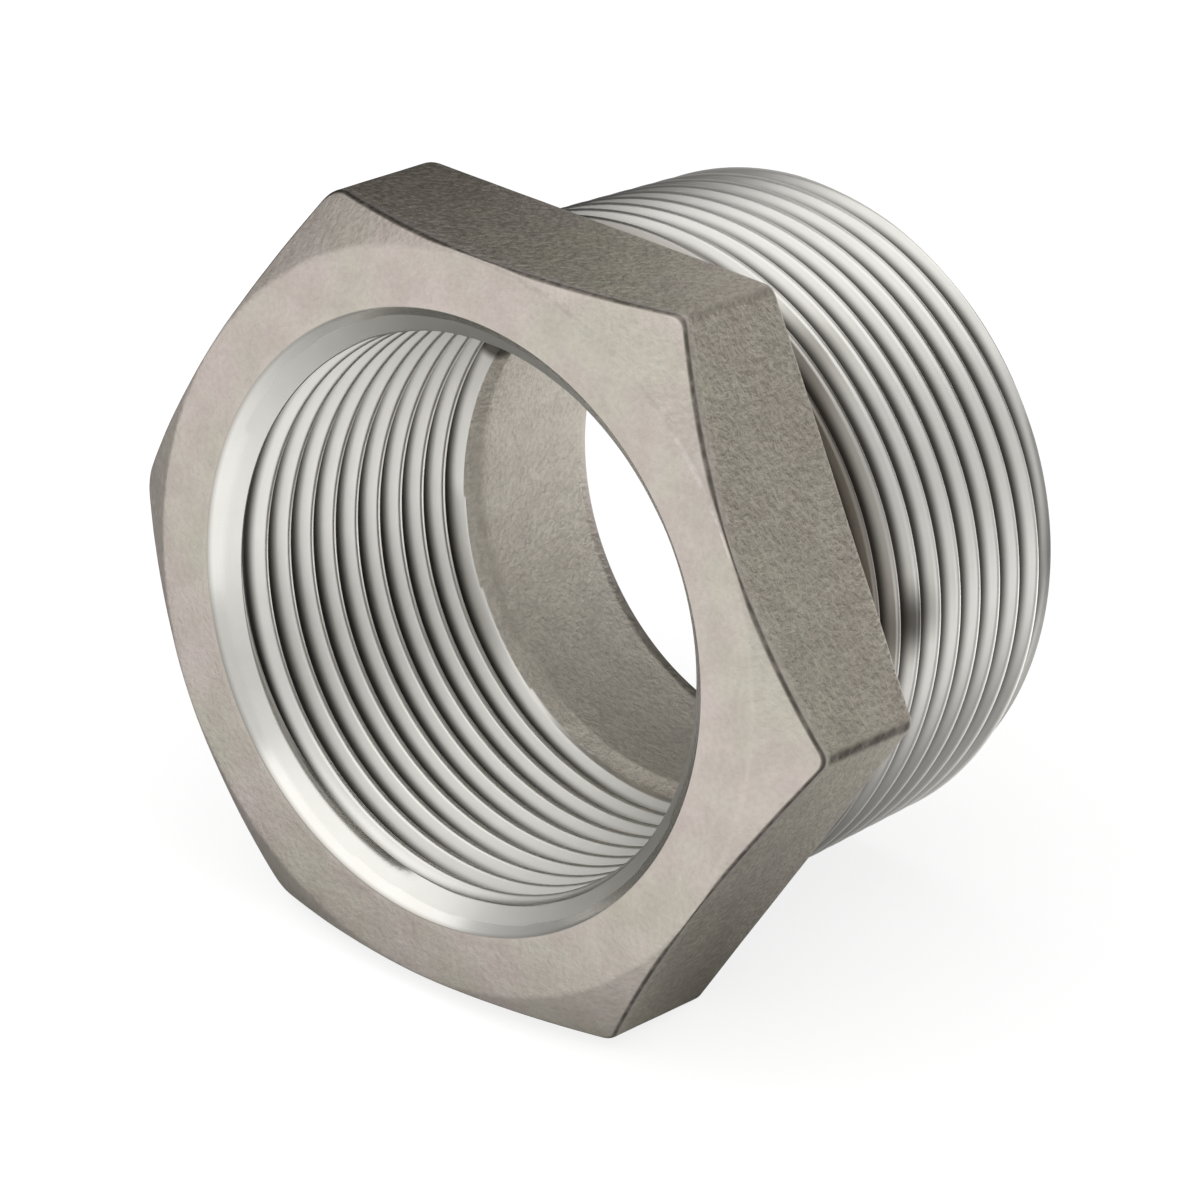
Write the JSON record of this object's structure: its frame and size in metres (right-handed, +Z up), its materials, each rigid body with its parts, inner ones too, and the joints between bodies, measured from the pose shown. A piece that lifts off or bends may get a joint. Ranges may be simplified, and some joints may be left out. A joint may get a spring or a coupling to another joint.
{
  "type": "hex bushing",
  "caption": "Cast hexagonal reducing bushing: spanner head with a female pipe thread inside, tapered male pipe thread behind it, plain bore through to the far end",
  "frame": {"origin": "on the ground, below the centre of the part's bounding box", "axes": "+Z up; the head's face looks towards -Y and leans back; +X runs across the corners of the hexagon; the part lies on the rear edge of one flat and on the end of its male thread, so its own axis drops 5.83 degrees towards +Y"},
  "size_m": [0.0596, 0.0416, 0.0529],
  "materials": {
    "cast_stainless": "bead-blasted casting with machined threads"
  },
  "bodies": {
    "root": {"hex_bushing": "cast_stainless"}
  },
  "joints": []
}
